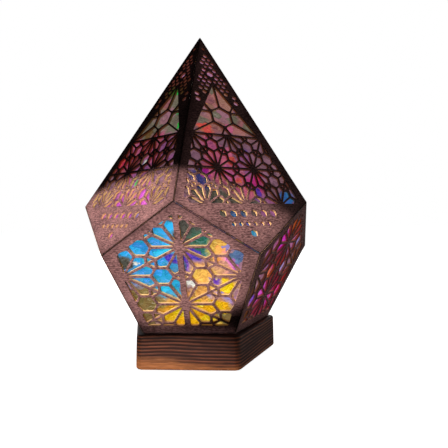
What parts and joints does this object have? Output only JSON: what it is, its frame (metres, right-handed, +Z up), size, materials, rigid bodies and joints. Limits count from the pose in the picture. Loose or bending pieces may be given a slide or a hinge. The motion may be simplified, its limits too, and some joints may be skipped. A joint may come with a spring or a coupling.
{
  "type": "table lantern",
  "caption": "Table lantern: a twelve-sided laser-cut wooden shade rising to one point, with coloured film behind its windows, lifting off a five-sided wooden base with a lamp.",
  "frame": {"origin": "middle of the base's footprint, at the underside of its felt pads", "axes": "+Z up through the shade's apex, -Y out of the front lower panel"},
  "size_m": [0.1622, 0.1706, 0.2464],
  "materials": {
    "walnut_ply": "dark walnut stained plywood, fine grain, satin",
    "scorched_pine": "carbonised pine with raised grain bands, matt",
    "birch_ply": "plain birch plywood",
    "beech": "plain beech",
    "lower_film": "iridescent colour-shift film lit from behind, yellow, cyan and pink",
    "upper_film": "iridescent colour-shift film lit from behind, crimson, mauve and olive",
    "felt": "black felt",
    "aluminium": "turned",
    "steel": "zinc plated",
    "black_plastic": "fine moulded texture",
    "white_board": "white solder resist",
    "green_board": "green solder resist",
    "phosphor": "yellow phosphor, lit",
    "clear_lens": "clear moulded lens",
    "foil": "laminated pouch foil",
    "red_lead": "silicone insulation",
    "black_lead": "silicone insulation"
  },
  "bodies": {
    "base": {"base_block": "scorched_pine", "base_cover": "birch_ply", "battery_cell": "foil", "board_screw_1": "steel", "board_screw_2": "steel", "button_bezel": "black_plastic", "cell_lead_black": "black_lead", "cell_lead_red": "red_lead", "charging_socket": "steel", "control_board": "green_board", "cover_screw_1": "steel", "cover_screw_2": "steel", "cover_screw_3": "steel", "cover_screw_4": "steel", "cover_screw_5": "steel", "foot_pad_1": "felt", "foot_pad_2": "felt", "foot_pad_3": "felt", "foot_pad_4": "felt", "foot_pad_5": "felt", "housing_screw_1": "steel", "housing_screw_2": "steel", "housing_screw_3": "steel", "lamp_housing": "aluminium", "lamp_lead_black": "black_lead", "lamp_lead_red": "red_lead", "lamp_lens": "clear_lens", "led_board": "white_board", "led_emitter": "phosphor", "lens_ring": "black_plastic", "locating_dowel_1": "beech", "locating_dowel_2": "beech", "socket_tongue": "black_plastic", "switch_body": "black_plastic"},
    "shade": {"lower_film_1": "lower_film", "lower_film_2": "lower_film", "lower_film_3": "lower_film", "lower_film_4": "lower_film", "lower_film_5": "lower_film", "lower_panel_1": "walnut_ply", "lower_panel_2": "walnut_ply", "lower_panel_3": "walnut_ply", "lower_panel_4": "walnut_ply", "lower_panel_5": "walnut_ply", "shade_floor": "walnut_ply", "upper_film_1": "upper_film", "upper_film_2": "upper_film", "upper_film_3": "upper_film", "upper_film_4": "upper_film", "upper_film_5": "upper_film", "upper_panel_1": "walnut_ply", "upper_panel_2": "walnut_ply", "upper_panel_3": "walnut_ply", "upper_panel_4": "walnut_ply", "upper_panel_5": "walnut_ply"},
    "button": {"button_cap": "black_plastic", "switch_plunger": "white_board"}
  },
  "joints": [
    {"name": "shade_lift", "type": "slide", "parent": "base", "child": "shade", "axis": [0, 0, 1], "range_m": [0, 0.06]},
    {"name": "power_button", "type": "slide", "parent": "base", "child": "button", "axis": [0.5878, -0.809, 0], "range_m": [0, 0.0012], "stiffness_N_per_m": 1200, "springref_m": -0.001}
  ]
}
